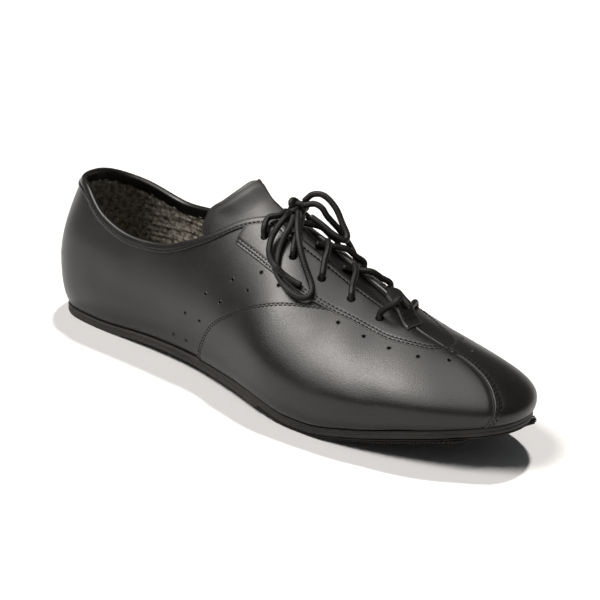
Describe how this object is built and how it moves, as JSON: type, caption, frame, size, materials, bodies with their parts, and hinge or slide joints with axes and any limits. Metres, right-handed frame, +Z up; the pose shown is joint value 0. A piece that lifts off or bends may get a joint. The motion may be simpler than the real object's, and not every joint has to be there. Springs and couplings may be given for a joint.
{
  "type": "cycling shoe",
  "caption": "Low-cut lace-up cycling shoe for the right foot in smooth black leather, with a thin stiff sole, a rubber half-sole, perforated sides and a padded tongue.",
  "frame": {"origin": "On the floor under the middle of the flat heel seat, 30 mm ahead of the sole's back edge.", "axes": "+X points to the toe, +Y to the inner (big-toe) side of the foot, -Y to its outer side, and +Z up."},
  "size_m": [0.2926, 0.0905, 0.0942],
  "materials": {
    "upper_leather": "smooth black leather, semi-matt with broad soft highlights",
    "band_leather": "thin folded black leather, stitched along its edge",
    "tongue_leather": "soft padded black leather",
    "sole_board": "hard dark sole board with a faint groove round its edge",
    "tread_rubber": "matt rubber half-sole with fine serrations",
    "insole_felt": "worn dark fabric-faced insole",
    "lace_cord": "round waxed black cord"
  },
  "bodies": {
    "root": {"outsole": "sole_board", "forefoot_tread": "tread_rubber", "insole": "insole_felt", "upper": "upper_leather", "collar_band": "band_leather", "tongue": "tongue_leather", "vamp_outer": "upper_leather", "vamp_inner": "upper_leather", "eyestay_outer": "upper_leather", "eyestay_inner": "upper_leather", "lace_keeper": "band_leather", "lace_cross_1": "lace_cord", "lace_cross_2": "lace_cord", "lace_cross_3": "lace_cord", "lace_bar": "lace_cord", "top_strand_outer": "lace_cord", "top_strand_inner": "lace_cord", "lace_knot": "lace_cord", "outer_loop": "lace_cord", "outer_end": "lace_cord", "inner_loop": "lace_cord", "inner_end": "lace_cord"}
  },
  "joints": []
}
